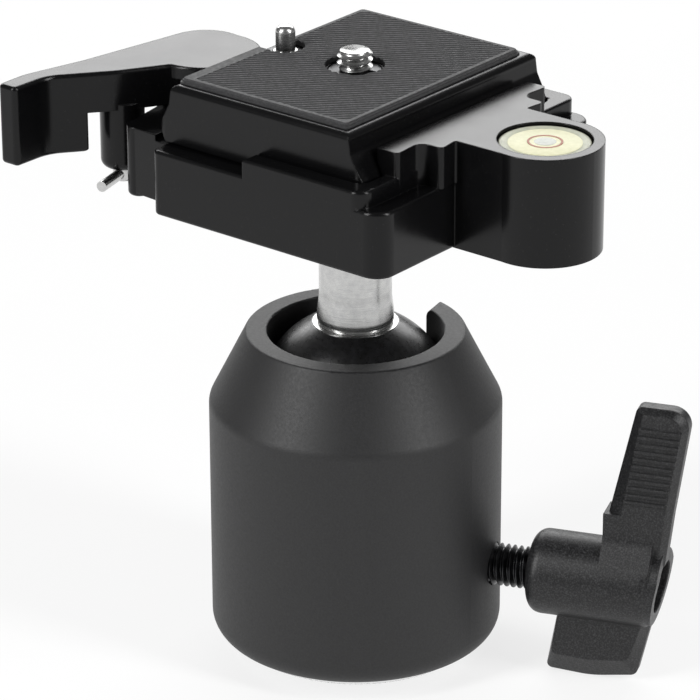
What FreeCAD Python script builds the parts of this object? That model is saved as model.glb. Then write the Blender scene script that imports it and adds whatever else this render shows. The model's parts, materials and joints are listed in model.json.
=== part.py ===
import FreeCAD, Part
import math
import os

# Tripod ball head with a quick-release clamp, in millimetres.
# +Z is up, the origin is the centre of the base disc's underside.
# The plate's short side lies along X, towards the level, and its long side along Y.

V = FreeCAD.Vector
UP = V(0, 0, 1)

# Housing
HOUSING_R = 27.0
HOUSING_BOTTOM_Z = 1.2
BOTTOM_ROUND = 4.2
SHOULDER_Z = 47.9
RIM_Z = 61.6
RIM_OUTER_R = 20.1
RIM_INNER_R = 16.24
BORE_R = 21.0
BORE_TOP_Z = 45.6
NOTCH_DIRECTION = 103.0
NOTCH_HALF_WIDTH = 7.6
NOTCH_CORNER_R = 2.0

# Ball and stem
BALL_Z = 46.6
BALL_R = 18.3
SEAT_GAP = 0.15
BALL_FLAT_Z = BALL_Z + 16.4
STEM_R = 6.65
STEM_FOOT_R = 7.1
STEM_RING_R = 7.85
STEM_TAIL_R = 4.0
SPIGOT_R = 4.5
SPIGOT_H = 2.5

# Base disc with the tripod thread, 3/8 inch
DISC_R = 22.6
TRIPOD_THREAD_R = 4.7625
PLUG_TOP_Z = 7.0
THREAD_BOSS_TOP_Z = 10.0

# Locking parts between the knob and the ball
CUP_BOTTOM_Z = 24.6
CUP_TOP_Z = 37.5
DISH_THICKNESS = 1.45
DISH_LOW_ANGLE = 18.0
DISH_HIGH_ANGLE = 58.0
PISTON_R = 20.6
PISTON_BOTTOM_Z = 11.4
PISTON_TOP_Z = 22.6
PIN_R = 3.0
PIN_TIP_R = 0.8
PIN_TIP_S = 8.0
WEDGE_ANGLE = 30.0
PIN_END_S = 23.0

# Locking knob: s runs out along its axis, t is up and w is across
KNOB_DIRECTION = 21.0
KNOB_Z = 17.7
KNOB_THREAD_R = 3.95
KNOB_THREAD_PITCH = 1.25
HUB_R = 7.9
HUB_START_S = 34.3
HUB_END_S = 57.3
HUB_TIP_S = 59.2
STUD_END_S = 51.0
HEAD_SEAT_S = 54.1
HEAD_POCKET_R = 5.0
BLADE_HALF = 2.75
BLADE_EDGE = 1.2
WING_HALF = 3.5
WING_EDGE = 1.0
GRIP_RIDGES = 11

# Quick-release clamp and plate: heights are measured down from the pad's top
PAD_TOP_Z = 112.7
CLAMP_BOTTOM = -24.3
LEDGE = -12.1
WALL_TOP = -9.0
DECK_TOP = -4.4
CLAMP_MIN_X = -21.3
CLAMP_MAX_X = 30.4
CLAMP_HALF_Y = 31.0
NOSE_X = 42.0
NOSE_R = 10.4
LEVEL_HOLE_R = 8.4

# Lever and its catch
LEVER_TOP = -3.0
LEVER_BOTTOM = -10.5
GRIP_BOTTOM = -18.0
CAM_X = -31.2
CAM_Y = -4.3
CAM_R = 10.1
CAM_FOOT_R = 7.8
CAM_THROW = 6.0
CAM_THROW_ANGLE = 55.0
PIVOT_X = CAM_X - CAM_THROW * math.cos(math.radians(CAM_THROW_ANGLE))
PIVOT_Y = CAM_Y + CAM_THROW * math.sin(math.radians(CAM_THROW_ANGLE))
PIVOT_R = 2.5
PIVOT_BOSS_R = 5.4
CATCH_X = -38.3
CATCH_Y = -19.5
BARREL_R = 4.1
BARREL_BOTTOM = -22.5
SPINDLE_R = 2.0
GRIP_END_Y = -27.3
POST_X = -29.65
POST_Y = -24.85
POST_R = 2.1

# Plate, pad, camera screw (1/4 inch) and index pin
PLATE_HALF_X = 20.15
PLATE_HALF_Y = 26.85
PLATE_TOP = -1.0
PLATE_BOTTOM = -11.8
PAD_HALF_X = 17.8
PAD_HALF_Y = 24.45
PAD_STEP = 1.5
RIB_PITCH = 1.2
RIB_DEPTH = 0.28
SCREW_R = 3.15
SCREW_TOP = 2.7
INDEX_X = -16.0
INDEX_R = 1.8
INDEX_TOP = 3.8
GUIDE_R = 2.2
GUIDE_TOP = -0.9

RUNNING = 0.05


def height(below_pad):
    """Height above the base for a height measured from the pad's top."""
    return PAD_TOP_Z + below_pad


def direction(angle, distance=1.0, z=0.0):
    """A point at this distance from the main axis, in the direction of the angle."""
    a = math.radians(angle)
    return V(distance * math.cos(a), distance * math.sin(a), z)


def rounded_edges(corners):
    """Edges of a closed outline. A corner is (x, y) or (x, y, radius)."""
    points = [V(c[0], c[1], 0) for c in corners]
    radii = [c[2] if len(c) > 2 else 0.0 for c in corners]
    count = len(points)
    starts, ends, middles = [], [], []
    for i, point in enumerate(points):
        back = (points[i - 1] - point).normalize()
        ahead = (points[(i + 1) % count] - point).normalize()
        half = back.getAngle(ahead) / 2
        if radii[i] == 0:
            starts.append(point)
            ends.append(point)
            middles.append(None)
            continue
        reach = radii[i] / math.tan(half)
        starts.append(point + back * reach)
        ends.append(point + ahead * reach)
        centre = point + (back + ahead).normalize() * (radii[i] / math.sin(half))
        middles.append(centre + (point - centre).normalize() * radii[i])
    edges = []
    for i in range(count):
        if middles[i] is not None:
            edges.append(Part.Arc(starts[i], middles[i], ends[i]).toShape())
        follower = starts[(i + 1) % count]
        if ends[i].distanceToPoint(follower) > 1e-6:
            edges.append(Part.LineSegment(ends[i], follower).toShape())
    return edges


def outline_face(corners):
    return Part.Face(Part.Wire(rounded_edges(corners)))


def slab(corners, low, high):
    """An upright prism between two heights."""
    face = outline_face(corners)
    face.translate(V(0, 0, low))
    return face.extrude(V(0, 0, high - low))


def turned(corners):
    """A solid turned about Z from a section of (radius, height) corners."""
    face = outline_face(corners)
    face.rotate(V(0, 0, 0), V(1, 0, 0), 90)
    return face.revolve(V(0, 0, 0), UP, 360)


def cylinder(radius, low, high, x=0.0, y=0.0):
    return Part.makeCylinder(radius, high - low, V(x, y, low))


def tube(inner, outer, low, high, x=0.0, y=0.0):
    return cylinder(outer, low, high, x, y).cut(cylinder(inner, low, high, x, y))


def block(x0, x1, y0, y1, z0, z1):
    return Part.makeBox(x1 - x0, y1 - y0, z1 - z0, V(x0, y0, z0))


def rectangle(x0, x1, y0, y1, radius=0.0):
    return [(x0, y0, radius), (x1, y0, radius), (x1, y1, radius), (x0, y1, radius)]


def soften(shape, z, radius):
    """Round the edges that lie flat at one height."""
    flat = []
    for edge in shape.Edges:
        box = edge.BoundBox
        if abs(box.ZMin - z) < 1e-4 and abs(box.ZMax - z) < 1e-4:
            flat.append(edge)
    return shape.makeFillet(radius, flat)


def thread_section(crest, root, pitch, low, high):
    """Corners of a screw thread's section, from the bottom up, without the axis."""
    corners = []
    turns = int((high - low) / pitch)
    z = low
    for _ in range(turns):
        corners.append((root, z + 0.06 * pitch))
        corners.append((crest, z + 0.44 * pitch))
        corners.append((crest, z + 0.56 * pitch))
        corners.append((root, z + 0.94 * pitch))
        z += pitch
    return corners


def along_knob(shape):
    """Lay a shape that was made upright about Z along the knob's axis."""
    shape.rotate(V(0, 0, 0), V(0, 1, 0), 90)
    shape.rotate(V(0, 0, 0), UP, KNOB_DIRECTION)
    shape.translate(V(0, 0, KNOB_Z))
    return shape


def knob_prism(corners, low_w, high_w):
    """A prism across the knob from an outline of (s, t) corners."""
    face = outline_face(corners)
    face.rotate(V(0, 0, 0), V(1, 0, 0), 90)
    face.translate(V(0, -low_w, 0))
    shape = face.extrude(V(0, low_w - high_w, 0))
    shape.rotate(V(0, 0, 0), UP, KNOB_DIRECTION)
    shape.translate(V(0, 0, KNOB_Z))
    return shape


def helix_spring(radius, wire, low, high, turns, x=0.0, y=0.0):
    """A coil spring of round wire, its ends cut off flat by the wire's own section."""
    rise = high - low - 2 * wire
    path = Part.makeLongHelix(rise / turns, rise, radius)
    section = Part.Wire([Part.makeCircle(wire, V(radius, 0, 0), V(0, 1, 0))])
    coil = Part.Wire(path).makePipeShell([section], True, True)
    coil.translate(V(x, y, low + wire))
    return coil


def save(name, shape):
    """Write one piece, and say so if it isn't one sound solid."""
    if not shape.isValid() or len(shape.Solids) != 1:
        print("check", name, "solids", len(shape.Solids), "valid", shape.isValid())
    shape.exportStep("parts/" + name + ".step")


def notch():
    """The slot in the housing that the stem drops into."""
    half = NOTCH_HALF_WIDTH
    top = RIM_Z
    wide = half + 3 * NOTCH_CORNER_R
    upper = slab([(-wide, top), (-half, top, NOTCH_CORNER_R), (-half, BALL_Z), (half, BALL_Z),
                  (half, top, NOTCH_CORNER_R), (wide, top), (wide, top + 5), (-wide, top + 5)],
                 RIM_INNER_R / 2, HOUSING_R + 5)
    upper.rotate(V(0, 0, 0), V(1, 0, 0), 90)
    upper.rotate(V(0, 0, 0), UP, NOTCH_DIRECTION + 90)
    lower = Part.makeCylinder(half, HOUSING_R + 5, V(0, 0, BALL_Z), direction(NOTCH_DIRECTION))
    return upper.fuse(lower)


def housing():
    seat_r = BALL_R + SEAT_GAP
    seat_top_z = BALL_Z + math.sqrt(seat_r ** 2 - RIM_INNER_R ** 2)
    shape = turned([(BORE_R, HOUSING_BOTTOM_Z), (HOUSING_R, HOUSING_BOTTOM_Z, BOTTOM_ROUND),
                    (HOUSING_R, SHOULDER_Z, 3.0), (RIM_OUTER_R, RIM_Z, 0.5),
                    (RIM_INNER_R, RIM_Z, 0.3), (RIM_INNER_R, seat_top_z), (RIM_INNER_R, BALL_Z),
                    (RIM_INNER_R, BORE_TOP_Z), (BORE_R, BORE_TOP_Z)])
    seat = Part.makeSphere(seat_r, V(0, 0, BALL_Z))
    seat = seat.common(block(-30, 30, -30, 30, BALL_Z, RIM_Z))
    shape = shape.cut(seat.fuse(cylinder(seat_r, BORE_TOP_Z - 1, BALL_Z)))
    shape = shape.cut(notch())
    return shape.cut(along_knob(cylinder(KNOB_THREAD_R + 2 * RUNNING, BORE_R - 2, HOUSING_R + 2)))


def base_plate():
    shape = turned([(TRIPOD_THREAD_R + 0.5, 0), (DISC_R, 0, 0.3), (DISC_R, HOUSING_BOTTOM_Z),
                    (BORE_R - RUNNING, HOUSING_BOTTOM_Z), (BORE_R - RUNNING, PLUG_TOP_Z, 0.5),
                    (9.0, PLUG_TOP_Z), (9.0, THREAD_BOSS_TOP_Z, 0.5),
                    (TRIPOD_THREAD_R, THREAD_BOSS_TOP_Z), (TRIPOD_THREAD_R, 0.5)])
    for angle in (0, 180):
        spot = direction(angle, 14.5)
        shape = shape.cut(cylinder(1.6, -1, 3.0, spot.x, spot.y))
    return shape


def ball_cup():
    hollow_r = BALL_R + 2 * SEAT_GAP + DISH_THICKNESS
    shape = tube(6.0, BORE_R - 0.2, CUP_BOTTOM_Z, CUP_TOP_Z)
    return shape.cut(Part.makeSphere(hollow_r, V(0, 0, BALL_Z)))


def seat_dish():
    """A thin spherical shell that floats between the ball and the cup."""
    inner = BALL_R + SEAT_GAP
    outer = inner + DISH_THICKNESS

    def at(radius, angle):
        a = math.radians(angle)
        return V(radius * math.sin(a), 0, BALL_Z - radius * math.cos(a))

    low, high = DISH_LOW_ANGLE, DISH_HIGH_ANGLE
    middle = (low + high) / 2
    edges = [Part.Arc(at(inner, low), at(inner, middle), at(inner, high)).toShape(),
             Part.LineSegment(at(inner, high), at(outer, high)).toShape(),
             Part.Arc(at(outer, high), at(outer, middle), at(outer, low)).toShape(),
             Part.LineSegment(at(outer, low), at(inner, low)).toShape()]
    return Part.Face(Part.Wire(edges)).revolve(V(0, 0, 0), UP, 360)


def disc_spring():
    thick = 0.8
    inner, outer = 8.0, 17.0
    return turned([(outer, PISTON_TOP_Z), (outer, PISTON_TOP_Z + thick), (inner, CUP_BOTTOM_Z),
                   (inner, CUP_BOTTOM_Z - thick)])


def wedge_length():
    """Length of the pin's conical tip."""
    return (PIN_R - PIN_TIP_R) / math.tan(math.radians(WEDGE_ANGLE))


def pressure_pin():
    shoulder = PIN_TIP_S + wedge_length()
    collar_r = KNOB_THREAD_R + RUNNING
    return along_knob(turned([(0, PIN_TIP_S), (PIN_TIP_R, PIN_TIP_S), (PIN_R, shoulder),
                              (PIN_R, BORE_R + 0.2), (collar_r, BORE_R + 0.2, 0.3),
                              (collar_r, PIN_END_S), (0, PIN_END_S)]))


def lift_piston():
    """The pin's tip pushes up on the slanted roof of the pocket in its side."""
    gap = SEAT_GAP / math.cos(math.radians(WEDGE_ANGLE))
    slope = math.tan(math.radians(WEDGE_ANGLE))
    pocket_end = PIN_TIP_S - 0.6
    shoulder = PIN_TIP_S + wedge_length()
    clear_r = PIN_R + 1.1
    pocket = along_knob(turned([(0, pocket_end), (PIN_TIP_R + gap - 0.6 * slope, pocket_end),
                                (PIN_R + gap, shoulder), (clear_r, shoulder),
                                (clear_r, HOUSING_R), (0, HOUSING_R)]))
    lower = block(pocket_end, HOUSING_R, -clear_r, clear_r, -clear_r - 0.9, 0)
    lower.rotate(V(0, 0, 0), UP, KNOB_DIRECTION)
    lower.translate(V(0, 0, KNOB_Z))
    shape = turned([(0, PISTON_BOTTOM_Z), (PISTON_R, PISTON_BOTTOM_Z, 0.5),
                    (PISTON_R, PISTON_TOP_Z, 0.5), (0, PISTON_TOP_Z)])
    return shape.cut(pocket).cut(lower)


def knob_screw():
    """Threaded stud moulded into the knob."""
    root = KNOB_THREAD_R - 0.7
    start = PIN_END_S
    thread_end = HUB_START_S + 1.2
    corners = [(0, start), (root, start)]
    corners += thread_section(KNOB_THREAD_R, root, KNOB_THREAD_PITCH, start, thread_end)
    corners += [(root, thread_end), (KNOB_THREAD_R, thread_end + 0.6), (KNOB_THREAD_R, STUD_END_S)]
    corners += [(2.0, STUD_END_S), (2.0, 43.0), (0, 43.0)]
    return along_knob(turned(corners))


def knob_end_screw():
    """Dome-headed cross-slot screw in the knob's end."""
    top = HEAD_SEAT_S + 2.6
    shape = turned([(0, 44.0), (2.0, 44.0), (2.0, HEAD_SEAT_S), (4.3, HEAD_SEAT_S),
                    (4.3, HEAD_SEAT_S + 1.6, 1.3), (2.4, top, 1.5), (0, top)])
    for turn in (0, 90):
        slot = slab([(-1.7, -0.35), (1.7, -0.35), (1.7, 0.35), (-1.7, 0.35)],
                    HEAD_SEAT_S + 0.9, HEAD_SEAT_S + 4)
        slot.rotate(V(0, 0, 0), UP, turn + 20)
        shape = shape.cut(slot)
    return along_knob(shape)


def knob_hub():
    return along_knob(turned([(KNOB_THREAD_R, HUB_START_S), (HUB_R, HUB_START_S, 2.5),
                              (HUB_R, HUB_END_S, 1.2), (HEAD_POCKET_R, HUB_END_S, 0.4),
                              (HEAD_POCKET_R, HEAD_SEAT_S), (2.3, HEAD_SEAT_S),
                              (2.3, STUD_END_S), (KNOB_THREAD_R, STUD_END_S)]))


def bevelled(middle, face, half, edge):
    """A plate across the knob whose border slopes back from each face to its middle."""
    wires = []
    for corners, w in ((face, -half), (middle, -edge), (middle, edge), (face, half)):
        wire = Part.Wire(rounded_edges(corners))
        wire.rotate(V(0, 0, 0), V(1, 0, 0), 90)
        wire.translate(V(0, w, 0))
        wires.append(wire)
    shape = Part.makeLoft(wires, True, True)
    shape.rotate(V(0, 0, 0), UP, KNOB_DIRECTION)
    shape.translate(V(0, 0, KNOB_Z))
    return shape


def knob_blade():
    """The upper finger blade, leaning outwards, with ridges on both faces."""
    middle = [(46.6, 3.0), (48.6, 13.7, 6.0), (53.5, 36.0, 1.4), (63.6, 36.0, 3.4),
              (60.6, 15.0, 30.0), (59.2, 3.0, 8.0), (56.6, -7.0), (48.0, -3.0)]
    face = [(48.6, 3.0), (51.2, 13.7, 6.0), (54.9, 35.2, 0.8), (62.4, 35.2, 2.6),
            (59.4, 15.0, 30.0), (58.0, 3.0, 8.0), (55.6, -6.0), (49.6, -3.0)]
    shape = bevelled(middle, face, BLADE_HALF, BLADE_EDGE).fuse(knob_flare())
    lowest, highest = 17.5, 32.1
    step = (highest - lowest) / (GRIP_RIDGES - 1)
    length, rise, lean = 7.9, 0.7, 0.174
    for number in range(GRIP_RIDGES):
        t = lowest + step * number
        start = 51.7 + (t - lowest) * lean
        ridge = [(start, t - rise / 2), (start + length, t - rise / 2),
                 (start + length, t + rise / 2), (start, t + rise / 2)]
        shape = shape.fuse(knob_prism(ridge, -BLADE_HALF - 0.35, BLADE_HALF + 0.35))
    return shape


def knob_flare():
    """Where the blade widens into the hub."""
    face = outline_face([(-7.4, 0), (-6.6, 4.4, 3.0), (-BLADE_HALF, 9.5, 3.0), (-BLADE_HALF, 14.5),
                         (BLADE_HALF, 14.5), (BLADE_HALF, 9.5, 3.0), (6.6, 4.4, 3.0), (7.4, 0)])
    face.rotate(V(0, 0, 0), V(1, 0, 0), 90)
    face.rotate(V(0, 0, 0), UP, 90)
    face.translate(V(48.0, 0, 0))
    shape = face.extrude(V(9.4, 0, 0))
    shape.rotate(V(0, 0, 0), UP, KNOB_DIRECTION)
    shape.translate(V(0, 0, KNOB_Z))
    return shape


def knob_wing():
    middle = [(39.5, -3.0), (39.5, -7.0, 2.0), (37.4, -19.3, 1.0), (46.0, -19.8, 20.0),
              (54.6, -18.4, 1.6), (57.2, -7.0, 3.0), (57.2, -3.0)]
    face = [(40.0, -3.0), (40.0, -7.0, 2.0), (38.8, -15.0, 1.0), (46.0, -15.4, 20.0),
            (53.4, -14.4, 1.6), (55.8, -7.0, 3.0), (55.8, -3.0)]
    return bevelled(middle, face, WING_HALF, WING_EDGE)


def knob_end():
    """The hub's sloping outer end."""
    round_end = along_knob(cylinder(HUB_R - 0.5, STUD_END_S, HUB_END_S + 3))
    slope = knob_prism([(50, -9), (HUB_END_S, -9), (HUB_TIP_S, 3), (HUB_TIP_S, 9), (50, 9)], -9, 9)
    return round_end.common(slope)


def knob_bore():
    """Stepped bore for the stud, the end screw and its head."""
    stud = along_knob(cylinder(KNOB_THREAD_R, HUB_START_S, STUD_END_S))
    shank = along_knob(cylinder(2.3, STUD_END_S - 2, HEAD_SEAT_S + 1))
    head = along_knob(cylinder(HEAD_POCKET_R, HEAD_SEAT_S, HUB_END_S + 8))
    return stud.fuse(shank).fuse(head)


def knob_body():
    shape = knob_hub().fuse(knob_blade()).fuse(knob_wing()).fuse(knob_end())
    return shape.cut(knob_bore())


def ball():
    shape = Part.makeSphere(BALL_R, V(0, 0, BALL_Z))
    shape = shape.common(block(-20, 20, -20, 20, BALL_Z - 20, BALL_FLAT_Z))
    return shape.cut(cylinder(STEM_TAIL_R, BALL_Z - 1, BALL_FLAT_Z + 1))


def stem():
    foot = BALL_FLAT_Z
    top = height(CLAMP_BOTTOM)
    shape = turned([(0, BALL_Z), (STEM_TAIL_R, BALL_Z), (STEM_TAIL_R, foot), (STEM_RING_R, foot),
                    (STEM_RING_R, foot + 0.15), (6.8, foot + 0.3), (6.8, foot + 0.7),
                    (STEM_FOOT_R, foot + 0.8), (STEM_FOOT_R, foot + 1.6, 3.0),
                    (STEM_R, foot + 5.6, 8.0), (STEM_R, top), (SPIGOT_R, top),
                    (SPIGOT_R, top + SPIGOT_H), (0, top + SPIGOT_H)])
    return shape.cut(cylinder(3.0, top - 16.5, top + 5))


def stem_screw():
    """Socket cap screw that holds the clamp on the stem."""
    seat = height(-18.6)
    shape = turned([(0, height(-40)), (3.0, height(-40)), (3.0, seat + 0.8), (4.9, seat + 0.8),
                    (4.9, seat + 6.0, 0.5), (0, seat + 6.0)])
    socket = Part.makePolygon([direction(60 * n, 2.9, seat + 3) for n in range(7)])
    return shape.cut(Part.Face(socket).extrude(V(0, 0, 5)))


def stem_washer():
    seat = height(-18.6)
    return tube(3.1, 5.2, seat, seat + 0.8)


def clamp_lug():
    """Shelf beside the block that carries the lever's pivot and the catch post."""
    low, high = height(CLAMP_BOTTOM), height(-11.0)
    boss_edge = PIVOT_Y + PIVOT_BOSS_R
    shelf = slab([(-19.0, boss_edge), (PIVOT_X, boss_edge), (PIVOT_X - PIVOT_BOSS_R, PIVOT_Y),
                  (-39.5, -7.0, 3.0), (-33.4, -14.0, 2.5), (POST_X - 1.9, POST_Y),
                  (POST_X, POST_Y - 1.9), (-19.0, -27.5)], low + 0.8, high)
    shape = shelf.fuse(cylinder(PIVOT_BOSS_R, low, high, PIVOT_X, PIVOT_Y))
    post = turned([(0, low), (POST_R, low, 0.8), (POST_R, high), (0, high)])
    post.translate(V(POST_X, POST_Y, 0))
    plate_room = block(CLAMP_MIN_X - 2.3, -15, -35, 30, height(LEDGE), height(0))
    return shape.fuse(post).cut(plate_room)


def clamp_deck():
    """Raised end with the fixed jaw and the arm that holds the level."""
    half = [(21.5, 21.4, 0.8), (26.6, 21.4, 0.8), (26.1, 14.7, 2.0), (31.0, 14.7, 1.0),
            (CLAMP_MAX_X, 10.2, 0.6), (NOSE_X, 10.2)]
    corners = [(x, -y, *r) for x, y, *r in half]
    corners += [(NOSE_X, 10.2)] + half[-2::-1]
    deck = slab(corners, height(LEDGE), height(DECK_TOP))
    arm = slab(rectangle(CLAMP_MAX_X - 3, NOSE_X, -10.3, 10.3), height(CLAMP_BOTTOM), height(DECK_TOP))
    nose = cylinder(NOSE_R, height(CLAMP_BOTTOM), height(DECK_TOP), NOSE_X, 0)
    return deck.fuse(arm).fuse(nose)


def jaw_space():
    """The room that the plate's foot takes under the fixed jaw."""
    lip, deep = 22.0, 23.4
    face = outline_face([(0, LEDGE), (deep, LEDGE), (deep, -9.6), (lip, -6.6), (lip, DECK_TOP + 1),
                         (0, DECK_TOP + 1)])
    face.rotate(V(0, 0, 0), V(1, 0, 0), 90)
    face.translate(V(0, 27.1, PAD_TOP_Z))
    return face.extrude(V(0, -54.2, 0))


def clamp_body():
    base = slab([(CLAMP_MIN_X, -CLAMP_HALF_Y, 1.5), (CLAMP_MAX_X, -CLAMP_HALF_Y, 3.7),
                 (CLAMP_MAX_X, CLAMP_HALF_Y, 3.7), (CLAMP_MIN_X, CLAMP_HALF_Y, 1.5)],
                height(CLAMP_BOTTOM), height(LEDGE))
    base = soften(base, height(LEDGE), 0.6)
    base = soften(base, height(CLAMP_BOTTOM), 0.6)
    walls = slab([(-0.2, -CLAMP_HALF_Y), (26.5, -CLAMP_HALF_Y, 2.5), (26.5, CLAMP_HALF_Y, 2.5),
                  (-0.2, CLAMP_HALF_Y)], height(LEDGE) - 1, height(WALL_TOP))
    walls = walls.cut(slab([(-1, -27.1), (23.4, -27.1, 2.0), (23.4, 27.1, 2.0), (-1, 27.1)],
                           height(LEDGE), height(0)))
    walls = soften(walls, height(WALL_TOP), 0.5)
    shape = base.fuse(walls).fuse(clamp_deck()).fuse(clamp_lug())
    shape = shape.cut(jaw_space())
    shape = shape.cut(cylinder(LEVEL_HOLE_R, height(-12.3), height(0), NOSE_X, 0))
    shape = shape.cut(cylinder(5.3, height(-18.6), height(0)))
    shape = shape.cut(cylinder(3.1, height(CLAMP_BOTTOM) - 1, height(0)))
    shape = shape.cut(cylinder(SPIGOT_R + RUNNING, height(CLAMP_BOTTOM) - 1,
                               height(CLAMP_BOTTOM) + SPIGOT_H + RUNNING))
    return shape.cut(pivot_bore())


def pivot_bore():
    shape = cylinder(PIVOT_R + RUNNING, height(CLAMP_BOTTOM) - 1, height(0), PIVOT_X, PIVOT_Y)
    shape = shape.fuse(cylinder(4.0, height(-19.5), height(0), PIVOT_X, PIVOT_Y))
    return shape.fuse(cylinder(4.4, height(CLAMP_BOTTOM) - 1, height(-22.2), PIVOT_X, PIVOT_Y))


def level_case():
    shape = turned([(0, height(-11.9)), (8.2, height(-11.9)), (8.2, height(-4.9), 0.5),
                    (0, height(-4.9))])
    shape.translate(V(NOSE_X, 0, 0))
    return shape.cut(cylinder(5.2, height(-9.6), height(-6.2), NOSE_X, 0))


def level_bubble():
    shape = Part.makeSphere(2.6, V(NOSE_X, 0, height(-8.2)))
    return shape.common(block(NOSE_X - 5, NOSE_X + 5, -5, 5, height(-7.2), height(-6.25)))


def level_fluid():
    return cylinder(5.2, height(-9.6), height(-6.2), NOSE_X, 0).cut(level_bubble())


def level_mark():
    return tube(2.7, 3.15, height(-4.9), height(-4.84), NOSE_X, 0)


def level_backing():
    return cylinder(8.2, height(-12.2), height(-11.9), NOSE_X, 0)


def lever_washer():
    return tube(PIVOT_R + 0.1, 5.0, height(-11.0), height(-10.6), PIVOT_X, PIVOT_Y)


def lever_spring():
    return helix_spring(3.25, 0.4, height(-19.3), height(-11.2), 5, PIVOT_X, PIVOT_Y)


def lever_outline():
    return [(-48.5, -41.0, 1.0), (-48.5, -34.5, 10.0), (-45.3, -22.0, 20.0), (-40.4, 6.1, 7.5),
            (-28.0, 6.1, 6.0), (-26.8, -11.8, 3.0), (-30.6, -14.2, 5.0), (-36.0, -22.9, 12.0),
            (-44.0, -32.8, 7.0), (-44.3, -41.0, 1.0)]


def lever_cam():
    """The round head that clamps the plate: it turns off its own centre."""
    low = height(LEVER_BOTTOM)
    shape = turned([(0, low), (CAM_FOOT_R, low), (CAM_FOOT_R, height(-9.8)), (CAM_R, height(-5.4)),
                    (CAM_R, height(LEVER_TOP), 0.5), (0, height(LEVER_TOP))])
    shape.translate(V(CAM_X, CAM_Y, 0))
    return shape


def lever_grip():
    tall = slab(lever_outline(), height(GRIP_BOTTOM), height(LEVER_BOTTOM) + 1)
    tall = tall.common(block(-60, -30, -45, GRIP_END_Y, height(-20), height(-5)))
    return soften(tall, height(GRIP_BOTTOM), 0.8)


def lever():
    arm = slab(lever_outline(), height(LEVER_BOTTOM), height(LEVER_TOP))
    arm = soften(arm, height(LEVER_TOP), 0.7)
    barrel = turned([(0, height(BARREL_BOTTOM)), (BARREL_R, height(BARREL_BOTTOM), 1.6),
                     (BARREL_R, height(LEVER_BOTTOM) + 1), (0, height(LEVER_BOTTOM) + 1)])
    barrel.translate(V(CATCH_X, CATCH_Y, 0))
    shape = arm.fuse(lever_cam()).fuse(lever_grip()).fuse(barrel)
    shape = shape.cut(cylinder(SPINDLE_R + RUNNING, height(-24), height(-6.5), CATCH_X, CATCH_Y))
    shape = shape.cut(cylinder(3.0, height(-20.5), height(-12.0), CATCH_X, CATCH_Y))
    return shape.cut(cylinder(2.0, height(-11), height(-5.5), PIVOT_X, PIVOT_Y))


def lever_pivot_screw():
    """Shoulder screw driven up into the lever from below."""
    head = height(-24.1)
    shape = turned([(0, head), (4.1, head, 0.4), (4.1, height(-22.3)), (PIVOT_R, height(-22.3)),
                    (PIVOT_R, height(LEVER_BOTTOM)), (2.0, height(LEVER_BOTTOM)),
                    (2.0, height(-5.6)), (0, height(-5.6))])
    shape = shape.cut(block(-5, 5, -0.6, 0.6, head - 1, head + 0.9))
    shape.translate(V(PIVOT_X, PIVOT_Y, 0))
    return shape


def catch_spindle():
    shape = turned([(0, height(-25.1)), (SPINDLE_R, height(-25.1), 0.5), (SPINDLE_R, height(-6.7)),
                    (0, height(-6.7))])
    shape.translate(V(CATCH_X, CATCH_Y, 0))
    return shape.cut(catch_pin())


def catch_pin():
    """Finger pin through the catch spindle."""
    way = direction(-76.0)
    start = V(CATCH_X, CATCH_Y, height(-23.7)) - way * 2.6
    return Part.makeCylinder(1.0, 11.2, start, way)


def catch_spring():
    return helix_spring(2.55, 0.3, height(-20.4), height(-12.1), 8, CATCH_X, CATCH_Y)


def plate_side():
    """Half of the plate's section across its short side."""
    return [(0, PLATE_BOTTOM), (21.5, PLATE_BOTTOM, 0.5), (23.0, -9.3, 0.6), (20.5, -4.6, 2.0),
            (PLATE_HALF_X, -2.3), (PLATE_HALF_X, PLATE_TOP, 1.2), (0, PLATE_TOP)]


def plate_body():
    half = plate_side()
    corners = half[1:-1] + [(-x, z, *r) for x, z, *r in half[-2:0:-1]]
    face = outline_face(corners)
    face.rotate(V(0, 0, 0), V(1, 0, 0), 90)
    face.translate(V(0, PLATE_HALF_Y, PAD_TOP_Z))
    shape = face.extrude(V(0, -2 * PLATE_HALF_Y, 0))
    ends = slab(rectangle(-24, 24, -PLATE_HALF_Y, PLATE_HALF_Y, 2.6), height(-15), height(0))
    shape = shape.common(ends)
    shape = shape.common(plate_crown())
    shape = shape.cut(cylinder(9.0, height(-13), height(-7.2)))
    shape = shape.cut(cylinder(3.3, height(-13), height(0)))
    shape = shape.cut(cylinder(5.0, height(-1.8), height(0)))
    shape = shape.cut(cylinder(3.0, height(-13), height(-2.5), INDEX_X, 0))
    return shape.cut(cylinder(GUIDE_R + 2 * RUNNING, height(-13), height(0), INDEX_X, 0))


def plate_crown():
    """Envelope that rounds the plate's upper edge at its two ends."""
    face = outline_face([(-PLATE_HALF_Y, -13), (PLATE_HALF_Y, -13), (PLATE_HALF_Y, PLATE_TOP, 1.2),
                         (-PLATE_HALF_Y, PLATE_TOP, 1.2)])
    face.rotate(V(0, 0, 0), V(1, 0, 0), 90)
    face.rotate(V(0, 0, 0), UP, 90)
    face.translate(V(-30, 0, PAD_TOP_Z))
    return face.extrude(V(60, 0, 0))


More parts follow.
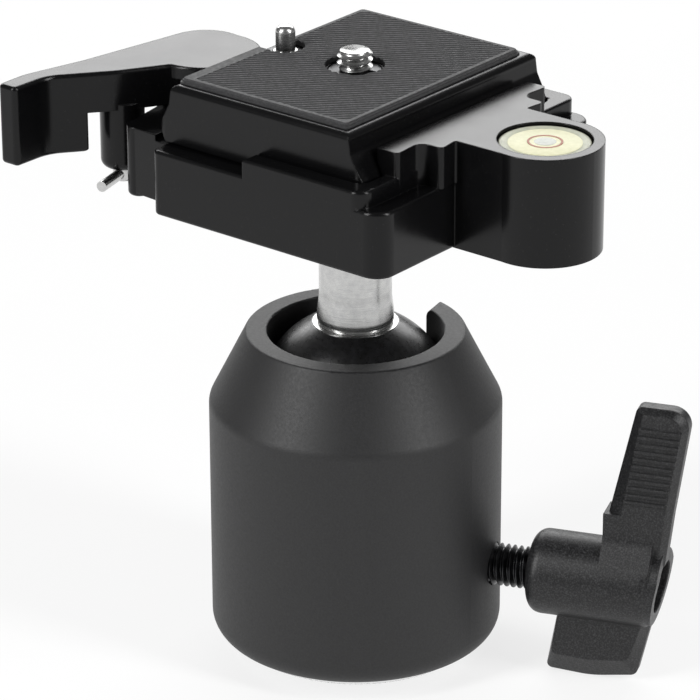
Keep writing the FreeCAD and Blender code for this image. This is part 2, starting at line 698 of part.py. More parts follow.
def pad_grooves(half_x, half_y):
    """Slanting grooves, at 45 degrees, inside the pad's plain border."""
    reach = (half_x + half_y) / math.sqrt(2)
    count = int(reach / RIB_PITCH)
    grooves = []
    for number in range(-count, count + 1):
        across = number * RIB_PITCH
        groove = outline_face([(across - 0.42, 0.02), (across + 0.42, 0.02), (across + 0.08, -RIB_DEPTH),
                               (across - 0.08, -RIB_DEPTH)])
        groove.rotate(V(0, 0, 0), V(1, 0, 0), 90)
        groove.translate(V(0, 40, PAD_TOP_Z))
        bar = groove.extrude(V(0, -80, 0))
        bar.rotate(V(0, 0, 0), UP, -45)
        grooves.append(bar)
    field = slab(rectangle(-half_x, half_x, -half_y, half_y), height(-0.5), height(0.5))
    return Part.makeCompound(grooves).common(field)


def plate_pad():
    """Rubber pad: its sides slope out to the plate, and one corner part is longer."""
    shape = pad_slope(-PAD_HALF_X, PAD_HALF_X, -PAD_HALF_Y, PAD_HALF_Y)
    shape = shape.fuse(pad_slope(-PAD_HALF_X - PAD_STEP, PAD_HALF_X, -PAD_HALF_Y, -2.6))
    shape = shape.cut(pad_grooves(PAD_HALF_X - 0.8, PAD_HALF_Y - 0.8))
    shape = shape.cut(cylinder(5.4, height(-2), height(1)))
    slot = cylinder(3.6, height(-2), height(1), INDEX_X, 0)
    slot = slot.fuse(block(-25, INDEX_X, -3.6, 3.6, height(-2), height(1)))
    return shape.cut(slot)


def pad_slope(x0, x1, y0, y1):
    """A low block whose sides lean in towards the top."""
    lean = 0.45
    wires = []
    for grow, z in ((lean, PLATE_TOP), (0.0, 0.0)):
        wire = Part.Wire(rounded_edges(rectangle(x0 - grow, x1 + grow, y0 - grow, y1 + grow, 0.8)))
        wire.translate(V(0, 0, height(z)))
        wires.append(wire)
    return Part.makeLoft(wires, True, True)


def camera_screw():
    neck = 2.4
    shape = turned([(0, height(-11.0)), (8.0, height(-11.0), 0.5), (8.0, height(-7.4), 0.5),
                    (neck, height(-7.4)), (neck, height(-1.0)), (SCREW_R, height(-0.8)),
                    (SCREW_R, height(SCREW_TOP) - 0.5), (2.6, height(SCREW_TOP)),
                    (0, height(SCREW_TOP))])
    return shape.cut(block(-9, 9, -0.8, 0.8, height(-11.2), height(-9.4)))


def screw_clip():
    """Retaining ring that keeps the camera screw in the plate."""
    ring = tube(2.4, 4.7, height(-1.75), height(-1.05))
    return ring.cut(block(0, 6, -1.4, 1.4, height(-2), height(-1)))


def index_pin():
    """Sprung pin: its lower part runs in the plate, its upper part enters the camera."""
    shape = turned([(0, height(-3.6)), (2.7, height(-3.6)), (2.7, height(-2.55)),
                    (GUIDE_R, height(-2.55)), (GUIDE_R, height(GUIDE_TOP)),
                    (INDEX_R, height(GUIDE_TOP)), (INDEX_R, height(INDEX_TOP), 1.1),
                    (0, height(INDEX_TOP))])
    shape.translate(V(INDEX_X, 0, 0))
    return shape


def index_spring():
    return helix_spring(2.2, 0.25, height(-10.3), height(-3.6), 6, INDEX_X, 0)


def index_plug():
    return cylinder(3.0, height(-11.7), height(-10.4), INDEX_X, 0)


PIECES = [housing, base_plate, ball_cup, disc_spring, lift_piston, pressure_pin, knob_screw,
          knob_body, knob_end_screw, seat_dish, ball, stem, stem_screw, stem_washer, clamp_body,
          level_case, level_fluid, level_bubble, level_mark, level_backing, lever_washer,
          lever_spring, lever, lever_pivot_screw, catch_spindle, catch_pin, catch_spring,
          plate_body, plate_pad, camera_screw, screw_clip, index_pin, index_spring, index_plug]

os.makedirs("parts", exist_ok=True)
for piece in PIECES:
    save(piece.__name__, piece())
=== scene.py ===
import json
import math

import bmesh
import bpy
from mathutils import Matrix, Vector


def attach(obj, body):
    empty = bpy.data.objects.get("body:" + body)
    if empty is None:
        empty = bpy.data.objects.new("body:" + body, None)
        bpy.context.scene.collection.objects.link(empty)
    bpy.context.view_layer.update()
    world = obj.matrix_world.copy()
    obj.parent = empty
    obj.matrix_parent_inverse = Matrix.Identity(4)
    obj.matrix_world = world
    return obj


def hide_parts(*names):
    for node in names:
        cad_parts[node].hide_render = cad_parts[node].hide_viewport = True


MM = 0.001

# Camera, fitted to the photograph's edges: angles in degrees, distances in millimetres.
VIEW_AZIMUTH = 38.906
VIEW_ELEVATION = 23.619
VIEW_ROLL = -0.182
VIEW_DISTANCE = 744.5
VIEW_RIGHT = -1.02
VIEW_UP = 57.22
LENS_PIXELS = 4067.7
FRAME_PIXELS = 700.0
SENSOR_MM = 36.0

# Soft lamps: name, azimuth from the camera's and elevation in degrees, then distance,
# width and height in metres, and radiance
LAMPS = [("left", -57, 34, 1.0, 0.2, 0.8, 15.0),
         ("right", 57, 34, 1.0, 0.2, 0.8, 13.0),
         ("back", 180, 27, 1.1, 1.5, 0.5, 4.0)]
LAMP_TARGET_Z = 0.06
WORLD_STRENGTH = 0.15
FLOOR_LIFT = 0.75
FLOOR_REACH = 3.0
FLOOR_Z = -2.12

# Sizes that the pieces share with the frame, in millimetres
PAD_TOP_Z = 112.7
PAD_HALF_X = 17.8
PAD_HALF_Y = 24.45
PAD_STEP_X = 1.5
PAD_STEP_Y = -2.6
PAD_CORNER_R = 0.8
SCREW_HOLE_R = 5.4
PIN_SLOT_R = 3.6
INDEX_X = -16.0
INDEX_TOP = 3.8
LEVEL_X = 42.0
LEVEL_TOP = -4.9
LEVEL_R = 8.2
KNOB_Z = 17.7
KNOB_DIRECTION = 21.0

# Threads: radius over the crests, radius at the root, and pitch
CAMERA_THREAD = (3.175, 2.5, 1.27)
KNOB_THREAD = (3.95, 3.2, 1.25)
THREAD_COLUMNS = 72
# Share of the pitch along one turn, and how far the thread has risen there
THREAD_FORM = [(0.06, 0.0), (0.25, 0.5), (0.44, 1.0), (0.56, 1.0), (0.75, 0.5), (0.94, 0.0)]
RUN_OUT_SLOPE = 1.2

# Pad: side layers as growth and height, and the grooves between the ribs
PAD_LAYERS = [(0.45, -1.0), (0.45, -0.72), (0.2, -0.64), (0.2, -0.36), (0.04, -0.28),
              (0.0, -0.08), (-0.08, 0.0)]
RIB_PITCH = 1.1
RIB_BORDER = 0.8
GROOVE_SECTION = [(-0.44, 0.3), (-0.44, 0.0), (-0.2, -0.24), (0.0, -0.3), (0.2, -0.24),
                  (0.44, 0.0), (0.44, 0.3)]
SHORTEST_GROOVE = 0.3

SMOOTH_ANGLE = 40
LATHE_COLUMNS = 64
WELD = 1e-5


class Paint:
    """A material under construction: one principled shader and the nodes before it."""

    def __init__(self, name):
        self.material = bpy.data.materials.new(name)
        self.material.use_nodes = True
        self.tree = self.material.node_tree
        self.tree.nodes.clear()
        self.shader = self.node("ShaderNodeBsdfPrincipled")
        self.output = self.node("ShaderNodeOutputMaterial")
        self.link(self.shader.outputs["BSDF"], self.output.inputs["Surface"])
        self.place = self.node("ShaderNodeTexCoord").outputs["Object"]
        self.normal = None

    def soft_edges(self, radius_mm):
        """Rounds the shading of sharp edges by this radius."""
        made = self.node("ShaderNodeBevel", samples=4)
        made.inputs["Radius"].default_value = radius_mm * MM
        self.normal = made.outputs["Normal"]

    def node(self, kind, **settings):
        made = self.tree.nodes.new(kind)
        for name, value in settings.items():
            setattr(made, name, value)
        return made

    def link(self, source, target):
        self.tree.links.new(source, target)

    def set(self, **values):
        for name, value in values.items():
            self.shader.inputs[name.replace("_", " ")].default_value = value

    def stretched(self, x, y, z):
        """Coordinates scaled along each axis."""
        mapping = self.node("ShaderNodeMapping")
        mapping.inputs["Scale"].default_value = (x, y, z)
        self.link(self.place, mapping.inputs["Vector"])
        return mapping.outputs["Vector"]

    def noise(self, size_mm, detail=3.0, rough=0.5, place=None):
        """Noise with features of about this size."""
        made = self.node("ShaderNodeTexNoise")
        made.inputs["Scale"].default_value = 1.0 / (size_mm * MM)
        made.inputs["Detail"].default_value = detail
        made.inputs["Roughness"].default_value = rough
        self.link(place or self.place, made.inputs["Vector"])
        return made.outputs["Fac"]

    def specks(self, size_mm, width):
        """Small separate spots: 1 inside a spot and 0 outside."""
        made = self.node("ShaderNodeTexVoronoi")
        made.inputs["Scale"].default_value = 1.0 / (size_mm * MM)
        self.link(self.place, made.inputs["Vector"])
        return self.ramp(made.outputs["Distance"], [(0.0, 1.0), (width, 0.0)])

    def ramp(self, value, stops):
        """Value mapped through stops of (position, grey or colour)."""
        made = self.node("ShaderNodeValToRGB")
        elements = made.color_ramp.elements
        while len(elements) < len(stops):
            elements.new(0.5)
        for element, (position, colour) in zip(elements, stops):
            element.position = position
            if isinstance(colour, float):
                colour = (colour, colour, colour)
            element.color = (*colour, 1.0)
        self.link(value, made.inputs["Fac"])
        return made.outputs["Color"]

    def bump(self, value, depth_mm, strength):
        """Adds height from a value to the surface's normal."""
        made = self.node("ShaderNodeBump")
        made.inputs["Strength"].default_value = strength
        made.inputs["Distance"].default_value = depth_mm * MM
        self.link(value, made.inputs["Height"])
        if self.normal is not None:
            self.link(self.normal, made.inputs["Normal"])
        self.normal = made.outputs["Normal"]
        self.link(self.normal, self.shader.inputs["Normal"])

    def mix(self, factor, first, second):
        """One colour where the factor is 0 and the other where it is 1."""
        made = self.node("ShaderNodeMix", data_type="RGBA")
        self.link(factor, made.inputs["Factor"])
        made.inputs[6].default_value = (*first, 1.0)
        made.inputs[7].default_value = (*second, 1.0)
        return made.outputs[2]

    def drive(self, name, value):
        """Feeds one of the shader's inputs."""
        self.link(value, self.shader.inputs[name])

    def colour(self, value, low, high, start=0.3, stop=0.7):
        """Base colour that varies between two colours with a value."""
        self.drive("Base Color", self.ramp(value, [(start, low), (stop, high)]))

    def roughness(self, value, low, high):
        """Roughness that varies between two levels with a value."""
        self.drive("Roughness", self.ramp(value, [(0.3, low), (0.7, high)]))


def housing_coat():
    p = Paint("housing_coat")
    grain = p.noise(0.35, 4.0, 0.7)
    p.soft_edges(0.3)
    p.colour(grain, (0.003, 0.003, 0.0033), (0.013, 0.013, 0.014), 0.3, 0.75)
    p.roughness(p.noise(0.5), 0.50, 0.58)
    p.set(IOR=1.55)
    p.bump(grain, 0.02, 0.7)
    return p.material


def clamp_paint():
    p = Paint("clamp_paint")
    specks = p.specks(0.9, 0.12)
    p.soft_edges(0.35)
    p.drive("Base Color", p.mix(specks, (0.003, 0.003, 0.0033), (0.03, 0.03, 0.03)))
    p.roughness(p.noise(6.0, 2.0), 0.20, 0.23)
    p.set(IOR=1.33)
    p.bump(p.noise(1.6, 2.0), 0.004, 0.5)
    return p.material


def ball_black():
    p = Paint("ball_black")
    p.colour(p.noise(1.5), (0.006, 0.006, 0.006), (0.014, 0.014, 0.015))
    p.roughness(p.noise(0.8), 0.25, 0.35)
    p.bump(p.noise(0.4, 2.0), 0.004, 0.5)
    return p.material


def knob_plastic():
    p = Paint("knob_plastic")
    fibres = p.noise(0.3, 3.0, 0.65)
    p.soft_edges(0.5)
    p.colour(fibres, (0.004, 0.004, 0.0045), (0.05, 0.05, 0.052), 0.45, 0.75)
    p.roughness(p.noise(0.7), 0.36, 0.48)
    p.set(IOR=1.45)
    p.bump(fibres, 0.02, 0.6)
    return p.material


def pad_rubber():
    p = Paint("pad_rubber")
    p.colour(p.noise(0.6, 4.0), (0.028, 0.028, 0.029), (0.05, 0.05, 0.052))
    p.roughness(p.noise(0.8), 0.55, 0.72)
    p.bump(p.noise(0.25), 0.01, 0.6)
    return p.material


def metal(name, dark, light, rough):
    """Turned metal: fine rings stacked along Z, slightly uneven."""
    p = Paint(name)
    rings = p.noise(0.12, 2.0, 0.6, p.stretched(0.02, 0.02, 1.0))
    p.colour(p.noise(1.2), dark, light)
    p.roughness(rings, rough * 0.8, rough * 1.2)
    p.set(Metallic=1.0)
    p.bump(rings, 0.002, 0.5)
    return p.material


def polished_steel():
    return metal("polished_steel", (0.5, 0.5, 0.5), (0.6, 0.6, 0.59), 0.27)


def base_aluminium():
    return metal("base_aluminium", (0.82, 0.82, 0.82), (0.9, 0.9, 0.9), 0.25)


def plain_aluminium():
    return metal("plain_aluminium", (0.6, 0.6, 0.6), (0.7, 0.7, 0.7), 0.35)


def spring_steel():
    return metal("spring_steel", (0.4, 0.4, 0.41), (0.5, 0.5, 0.51), 0.3)


def dark_steel():
    return metal("dark_steel", (0.03, 0.03, 0.032), (0.07, 0.07, 0.073), 0.35)


def white_nylon():
    p = Paint("white_nylon")
    p.colour(p.noise(1.5), (0.74, 0.72, 0.66), (0.82, 0.8, 0.75))
    p.roughness(p.noise(0.8), 0.4, 0.5)
    p.bump(p.noise(0.5, 2.0), 0.01, 0.4)
    return p.material


def level_plain(name, low, high, rough):
    """Smooth plastic of the round level, in slightly uneven colour."""
    p = Paint(name)
    p.colour(p.noise(0.9), low, high)
    p.roughness(p.noise(0.5), rough, rough * 1.3)
    p.set(Specular_IOR_Level=0.15)
    return p.material


def level_red():
    return level_plain("level_red", (0.30, 0.10, 0.05), (0.38, 0.14, 0.08), 0.3)


def level_yellow():
    return level_plain("level_yellow", (0.76, 0.76, 0.56), (0.82, 0.82, 0.64), 0.3)


def level_clear():
    return level_plain("level_clear", (0.42, 0.43, 0.34), (0.50, 0.51, 0.40), 0.3)


def level_liquid():
    return level_plain("level_liquid", (0.66, 0.65, 0.42), (0.73, 0.72, 0.49), 0.3)


def level_air():
    return level_plain("level_air", (0.40, 0.42, 0.38), (0.50, 0.52, 0.46), 0.2)


def all_materials():
    makers = [housing_coat, clamp_paint, ball_black, knob_plastic, pad_rubber, polished_steel,
              base_aluminium, plain_aluminium, spring_steel, dark_steel, white_nylon, level_red,
              level_yellow, level_clear, level_liquid, level_air]
    return {maker.__name__: maker() for maker in makers}


def dress_frame(frame, materials):
    """Every CAD node gets the material of its slot."""
    for part in frame["record"]["subparts"]:
        mesh = frame["nodes"][part["node"]].data
        mesh.materials.clear()
        mesh.materials.append(materials[part["material_slot"]])


def finish_mesh(name, bm, material, smooth=True):
    """A scene object from a finished bmesh in millimetres."""
    bmesh.ops.recalc_face_normals(bm, faces=bm.faces)
    bm.transform(Matrix.Scale(MM, 4))
    mesh = bpy.data.meshes.new(name)
    bm.to_mesh(mesh)
    bm.free()
    mesh.materials.append(material)
    made = bpy.data.objects.new(name, mesh)
    bpy.context.scene.collection.objects.link(made)
    if smooth:
        mesh.polygons.foreach_set("use_smooth", [True] * len(mesh.polygons))
        mesh.set_sharp_from_angle(angle=math.radians(SMOOTH_ANGLE))
    return made


def add_ring(bm, points):
    return [bm.verts.new(point) for point in points]


def bridge(bm, first, second):
    """A band of faces between two rings of as many points."""
    count = len(first)
    for i in range(count):
        j = (i + 1) % count
        bm.faces.new((first[i], first[j], second[j], second[i]))


def lathe(bm, profile, centre=(0.0, 0.0), ring=False):
    """Turned closed solid: (radius, z) from the axis to the axis, or round a ring's section."""
    x, y = centre
    angles = [math.tau * i / LATHE_COLUMNS for i in range(LATHE_COLUMNS)]
    rings = []
    for radius, z in profile:
        if radius == 0:
            rings.append([bm.verts.new((x, y, z))])
            continue
        points = [(x + radius * math.cos(a), y + radius * math.sin(a), z) for a in angles]
        rings.append(add_ring(bm, points))
    after = rings[1:] + rings[:1] if ring else rings[1:]
    for first, second in zip(rings, after):
        if len(first) > 1 and len(second) > 1:
            bridge(bm, first, second)
            continue
        for i in range(LATHE_COLUMNS):
            j = (i + 1) % LATHE_COLUMNS
            if len(first) == 1:
                bm.faces.new((first[0], second[i], second[j]))
            else:
                bm.faces.new((first[i], first[j], second[0]))


def arc(centre, radius, start, stop, steps):
    """Points (radius, z) on an arc of the profile, angles in degrees from the radius axis."""
    points = []
    for i in range(steps + 1):
        a = math.radians(start + (stop - start) * i / steps)
        points.append((centre[0] + radius * math.cos(a), centre[1] + radius * math.sin(a)))
    return points


def thread_column(bm, form, low, high, k):
    """One upright line of points on the thread; those beyond an end gather on its root."""
    crest, root, pitch = form
    a = math.tau * k / THREAD_COLUMNS
    turns = int((high - low) / pitch) + 4
    column = []
    for turn in range(-2, turns):
        for part, rise in THREAD_FORM:
            z = low + (turn + part + k / THREAD_COLUMNS) * pitch
            z = min(max(z, low), high)
            limit = root + RUN_OUT_SLOPE * min(z - low, high - z)
            radius = min(root + rise * (crest - root), limit)
            column.append(bm.verts.new((radius * math.cos(a), radius * math.sin(a), z)))
    return column


def close_holes(bm):
    rim = [edge for edge in bm.edges if edge.is_boundary]
    bmesh.ops.holes_fill(bm, edges=rim)


def thread(bm, form, low, high):
    """Helical thread that runs out to its root at both ends."""
    grid = [thread_column(bm, form, low, high, k) for k in range(THREAD_COLUMNS)]
    top = len(grid[0]) - 1
    # After one turn the first column meets the last one a whole thread higher up.
    climb = len(THREAD_FORM)
    grid.append([grid[0][min(m + climb, top)] for m in range(top + 1)])
    for column, after in zip(grid, grid[1:]):
        for m in range(top):
            face = [column[m], after[m], after[m + 1], column[m + 1]]
            if after[m] is after[m + 1]:
                face.pop(2)
            bm.faces.new(face)
    bmesh.ops.remove_doubles(bm, verts=bm.verts, dist=WELD)
    bmesh.ops.dissolve_degenerate(bm, edges=bm.edges, dist=WELD)
    close_holes(bm)


def node_part(bm, frame, node, point, normal):
    """The closed part of a node's shape on the far side of a plane, in millimetres."""
    source = frame["nodes"][node]
    part = bmesh.new()
    part.from_mesh(source.data)
    part.transform(Matrix.Scale(1 / MM, 4) @ source.matrix_world)
    bmesh.ops.remove_doubles(part, verts=part.verts, dist=10 * WELD)
    bmesh.ops.bisect_plane(part, geom=part.verts[:] + part.edges[:] + part.faces[:],
                           plane_co=point, plane_no=normal, clear_inner=True)
    close_holes(part)
    shared = bpy.data.meshes.new("part")
    part.to_mesh(shared)
    part.free()
    bm.from_mesh(shared)
    bpy.data.meshes.remove(shared)


def camera_screw_piece(frame, material):
    """The camera screw: a real thread above the frame's own neck and slotted head."""
    low, high = PAD_TOP_Z - 1.1, PAD_TOP_Z + 2.7
    neck_end = PAD_TOP_Z - 1.05
    bm = bmesh.new()
    thread(bm, CAMERA_THREAD, low, high)
    node_part(bm, frame, "camera_screw", (0, 0, neck_end), (0, 0, -1))
    piece = finish_mesh("camera_screw_threaded", bm, material)
    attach(piece, "camera_screw")
    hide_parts("camera_screw")


def knob_screw_piece(frame, material):
    """The knob's stud: a real thread, then the frame's plain end inside the knob."""
    thread_start, thread_end, plain_start = 23.0, 35.6, 35.9
    lay = Matrix.Rotation(math.radians(90), 4, "Y")
    lay = Matrix.Rotation(math.radians(KNOB_DIRECTION), 4, "Z") @ lay
    lay = Matrix.Translation((0, 0, KNOB_Z)) @ lay
    bm = bmesh.new()
    thread(bm, KNOB_THREAD, thread_start, thread_end)
    bm.transform(lay)
    along = lay.to_3x3() @ Vector((0, 0, 1))
    node_part(bm, frame, "knob_screw", lay @ Vector((0, 0, plain_start)), along)
    piece = finish_mesh("knob_screw_threaded", bm, material)
    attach(piece, "knob")
    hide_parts("knob_screw")


def index_pin_piece(material):
    """Sprung pin with a flange, a guide in the plate and a domed upper end."""
    top = PAD_TOP_Z + INDEX_TOP
    flange_r, guide_r, pin_r, dome_r = 2.7, 2.2, 1.8, 1.2
    foot, flange_top, guide_top = top - 7.4, top - 6.35, top - 4.7
    profile = [(0, foot), (flange_r, foot), (flange_r, flange_top), (guide_r, flange_top),
               (guide_r, guide_top), (pin_r, guide_top)]
    profile += arc((pin_r - dome_r, top - dome_r), dome_r, 0, 90, 8)
    profile += [(0, top)]
    bm = bmesh.new()
    lathe(bm, profile, (INDEX_X, 0.0))
    piece = finish_mesh("index_pin_domed", bm, material)
    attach(piece, "index_pin")
    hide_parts("index_pin")


def level_profiles():
    """Sections of the round level's pieces, as (radius, height) from the level's top."""
    edge_r = 0.45
    body = [(0, -7.3), (LEVEL_R, -7.3), (LEVEL_R, -0.5)]
    body += arc((LEVEL_R - edge_r, -edge_r), edge_r, 0, 90, 4)
    body += [(6.9, 0.0), (6.7, -0.15), (0, -0.15)]
    dish = [(0, -0.3), (6.5, -0.3), (6.5, -0.12), (6.2, -0.05), (0, 0.02)]
    ring = [(2.75, -0.1), (3.15, -0.1), (3.15, 0.05), (2.75, 0.05)]
    bubble = [(0, -0.1), (1.95, -0.1), (1.95, 0.025), (1.8, 0.04), (1.2, 0.055), (0, 0.06)]
    return body, dish, ring, bubble


def level_pieces(materials):
    """The round level: its body, pale dish, printed ring and bubble."""
    body, dish, ring, bubble = level_profiles()
    named = [("level_body", body, "level_clear", ["level_case", "level_backing"]),
             ("level_dish", dish, "level_liquid", ["level_fluid"]),
             ("level_ring", ring, "level_red", ["level_mark"]),
             ("level_bubble_dome", bubble, "level_air", ["level_bubble"])]
    for name, profile, slot, nodes in named:
        bm = bmesh.new()
        raised = [(radius, PAD_TOP_Z + LEVEL_TOP + z) for radius, z in profile]
        lathe(bm, raised, (LEVEL_X, 0.0), ring=profile is ring)
        piece = finish_mesh(name, bm, materials[slot])
        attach(piece, "clamp")
        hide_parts(*nodes)


def pad_outline(grow):
    """The pad's outline with its longer corner part, grown outwards; corners are rounded."""
    left, right = -PAD_HALF_X - grow, PAD_HALF_X + grow
    front, back = -PAD_HALF_Y - grow, PAD_HALF_Y + grow
    step_left, step_back = left - PAD_STEP_X, PAD_STEP_Y + grow
    wide, small = PAD_CORNER_R, PAD_CORNER_R / 2
    corners = [(step_left, front, wide), (right, front, wide), (right, back, wide),
               (left, back, wide), (left, step_back, small), (step_left, step_back, small)]
    points = []
    steps = 5
    for i, (x, y, radius) in enumerate(corners):
        here = Vector((x, y))
        before = (Vector(corners[i - 1][:2]) - here).normalized()
        after = (Vector(corners[(i + 1) % len(corners)][:2]) - here).normalized()
        start, stop = here + before * radius, here + after * radius
        for step in range(steps + 1):
            t = step / steps
            points.append(start * (1 - t) ** 2 + here * (2 * t * (1 - t)) + stop * t * t)
    return points


def clip_line(x, y, reach_x, reach_y):
    """Where a line at 45 degrees through a point leaves the ribbed field, as two distances."""
    low = max((-reach_x - x), (-reach_y - y))
    high = min((reach_x - x), (reach_y - y))
    return low, high


def groove_cutter():
    """All the grooves as closed bars that end on the field's border."""
    bm = bmesh.new()
    reach_x, reach_y = PAD_HALF_X - RIB_BORDER, PAD_HALF_Y - RIB_BORDER
    half_root = math.sqrt(0.5)
    count = int((reach_x + reach_y) * half_root / RIB_PITCH)
    for number in range(-count, count + 1):
        ends = ([], [])
        for across, z in GROOVE_SECTION:
            offset = (number * RIB_PITCH + across) * half_root
            low, high = clip_line(-offset, offset, reach_x, reach_y)
            if high - low < SHORTEST_GROOVE:
                break
            ends[0].append((-offset + low, offset + low, PAD_TOP_Z + z))
            ends[1].append((-offset + high, offset + high, PAD_TOP_Z + z))
        if len(ends[0]) < len(GROOVE_SECTION):
            continue
        first, second = add_ring(bm, ends[0]), add_ring(bm, ends[1])
        bridge(bm, first, second)
        bm.faces.new(first)
        bm.faces.new(second)
    return bm


def hole_cutter():
    """The screw's round hole and the pin's slot, which is open to the pad's side."""
    bm = bmesh.new()
    low, high = PAD_TOP_Z - 2.0, PAD_TOP_Z + 2.0
    lathe(bm, [(0, low), (SCREW_HOLE_R, low), (SCREW_HOLE_R, high), (0, high)])
    beyond, steps = -25.0, 24
    outline = [(beyond, -PIN_SLOT_R), (INDEX_X, -PIN_SLOT_R)]
    for step in range(1, steps):
        a = math.radians(-90 + 180 * step / steps)
        outline.append((INDEX_X + PIN_SLOT_R * math.cos(a), PIN_SLOT_R * math.sin(a)))
    outline += [(INDEX_X, PIN_SLOT_R), (beyond, PIN_SLOT_R)]
    lower = add_ring(bm, [(x, y, low) for x, y in outline])
    upper = add_ring(bm, [(x, y, high) for x, y in outline])
    bridge(bm, lower, upper)
    bm.faces.new(lower)
    bm.faces.new(upper)
    return bm


def cut(piece, bm, material):
    """Takes a closed shape out of a piece."""
    tool = finish_mesh("tool", bm, material, smooth=False)
    modifier = piece.modifiers.new("cut", "BOOLEAN")
    modifier.operation = "DIFFERENCE"
    modifier.solver = "EXACT"
    modifier.object = tool
    dependencies = bpy.context.evaluated_depsgraph_get()
    mesh = bpy.data.meshes.new_from_object(piece.evaluated_get(dependencies))
    piece.modifiers.clear()
    piece.data = mesh
    bpy.data.objects.remove(tool)


def pad_piece(material):
    """Ribbed rubber pad with a plain border and stepped, sloping sides."""
    bm = bmesh.new()
    rings = []
    for grow, z in PAD_LAYERS:
        rings.append(add_ring(bm, [(p.x, p.y, PAD_TOP_Z + z) for p in pad_outline(grow)]))
    for first, second in zip(rings, rings[1:]):
        bridge(bm, first, second)
    bm.faces.new(rings[0])
    bm.faces.new(rings[-1])
    piece = finish_mesh("pad_ribbed", bm, material, smooth=False)
    cut(piece, hole_cutter(), material)
    cut(piece, groove_cutter(), material)
    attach(piece, "plate")
    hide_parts("plate_pad")


def floor_material():
    """Pale floor; seen directly it is lifted towards white and still keeps the shadow."""
    p = Paint("floor")
    p.drive("Base Color", p.ramp(p.noise(60.0, 2.0), [(0.3, 0.86), (0.7, 0.88)]))
    p.drive("Roughness", p.ramp(p.noise(3.0, 2.0), [(0.3, 0.8), (0.7, 0.9)]))
    p.set(Specular_IOR_Level=0.2)
    glow = p.node("ShaderNodeEmission")
    glow.inputs["Strength"].default_value = 1.0
    rays = p.node("ShaderNodeLightPath")
    share = p.node("ShaderNodeMath", operation="MULTIPLY")
    share.inputs[1].default_value = FLOOR_LIFT
    seen = rays.outputs["Is Camera Ray"]
    for other in ("Is Glossy Ray", "Is Transmission Ray"):
        either = p.node("ShaderNodeMath", operation="MAXIMUM")
        p.link(seen, either.inputs[0])
        p.link(rays.outputs[other], either.inputs[1])
        seen = either.outputs["Value"]
    p.link(seen, share.inputs[0])
    blend = p.node("ShaderNodeMixShader")
    p.link(share.outputs["Value"], blend.inputs["Fac"])
    p.link(p.shader.outputs["BSDF"], blend.inputs[1])
    p.link(glow.outputs["Emission"], blend.inputs[2])
    p.link(blend.outputs["Shader"], p.output.inputs["Surface"])
    return p.material


def make_floor():
    r, z = FLOOR_REACH, FLOOR_Z * MM
    mesh = bpy.data.meshes.new("floor")
    mesh.from_pydata([(-r, -r, z), (r, -r, z), (r, r, z), (-r, r, z)], [], [(0, 1, 2, 3)])
    mesh.materials.append(floor_material())
    made = bpy.data.objects.new("floor", mesh)
    bpy.context.scene.collection.objects.link(made)


def view_axes():
    """Right, up and back of a level camera at the photograph's angle."""
    a, e = math.radians(VIEW_AZIMUTH), math.radians(VIEW_ELEVATION)
    back = Vector((math.sin(a) * math.cos(e), -math.cos(a) * math.cos(e), math.sin(e)))
    right = Vector((math.cos(a), math.sin(a), 0.0))
    return right, back.cross(right), back


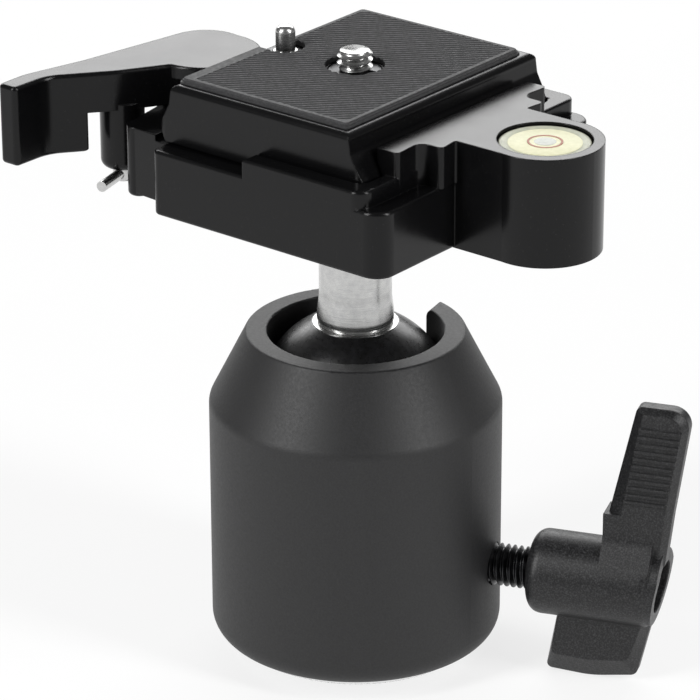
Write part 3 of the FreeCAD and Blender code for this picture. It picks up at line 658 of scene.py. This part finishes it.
def make_camera():
    """The photograph's view, with the small roll that it was taken at."""
    right, up, back = view_axes()
    turn = math.radians(VIEW_ROLL)
    rolled_right = right * math.cos(turn) + up * math.sin(turn)
    rolled_up = up * math.cos(turn) - right * math.sin(turn)
    data = bpy.data.cameras.new("camera")
    data.sensor_width = SENSOR_MM
    data.lens = LENS_PIXELS / FRAME_PIXELS * SENSOR_MM
    data.clip_start = 0.05
    data.clip_end = 20.0
    camera = bpy.data.objects.new("camera", data)
    place = back * VIEW_DISTANCE + Vector((0, 0, VIEW_UP)) + right * VIEW_RIGHT
    axes = Matrix((rolled_right, rolled_up, back)).transposed().to_4x4()
    camera.matrix_world = Matrix.Translation(place * MM) @ axes
    bpy.context.scene.collection.objects.link(camera)
    bpy.context.scene.camera = camera


def softbox(name, azimuth, elevation, distance, width, height, radiance):
    """A soft lamp that faces the object. Azimuth counts from the camera's, to the right."""
    a = math.radians(VIEW_AZIMUTH + azimuth)
    e = math.radians(elevation)
    away = Vector((math.sin(a) * math.cos(e), -math.cos(a) * math.cos(e), math.sin(e)))
    data = bpy.data.lights.new(name, "AREA")
    data.shape = "RECTANGLE"
    data.size = width
    data.size_y = height
    data.energy = radiance * math.pi * width * height
    lamp = bpy.data.objects.new(name, data)
    place = Matrix.Translation(away * distance + Vector((0, 0, LAMP_TARGET_Z)))
    lamp.matrix_world = place @ away.to_track_quat("Z", "Y").to_matrix().to_4x4()
    bpy.context.scene.collection.objects.link(lamp)


def make_lights():
    for lamp in LAMPS:
        softbox(*lamp)
    world = bpy.data.worlds.new("studio")
    world.use_nodes = True
    background = world.node_tree.nodes["Background"]
    background.inputs["Color"].default_value = (1.0, 1.0, 1.0, 1.0)
    background.inputs["Strength"].default_value = WORLD_STRENGTH
    bpy.context.scene.world = world


def corners(box):
    return [list(corner) for corner in box]


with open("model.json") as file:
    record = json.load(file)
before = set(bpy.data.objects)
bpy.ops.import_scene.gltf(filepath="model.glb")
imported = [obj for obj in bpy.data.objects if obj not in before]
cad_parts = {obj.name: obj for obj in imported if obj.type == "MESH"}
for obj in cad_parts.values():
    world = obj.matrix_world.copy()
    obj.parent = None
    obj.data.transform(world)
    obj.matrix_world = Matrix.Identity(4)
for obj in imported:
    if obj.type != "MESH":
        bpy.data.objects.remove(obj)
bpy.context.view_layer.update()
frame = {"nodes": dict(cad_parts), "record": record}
materials = all_materials()
dress_frame(frame, materials)
camera_screw_piece(frame, materials["polished_steel"])
knob_screw_piece(frame, materials["dark_steel"])
index_pin_piece(materials["polished_steel"])
level_pieces(materials)
pad_piece(materials["pad_rubber"])
make_floor()
make_camera()
make_lights()
bpy.context.scene.view_settings.view_transform = "Standard"
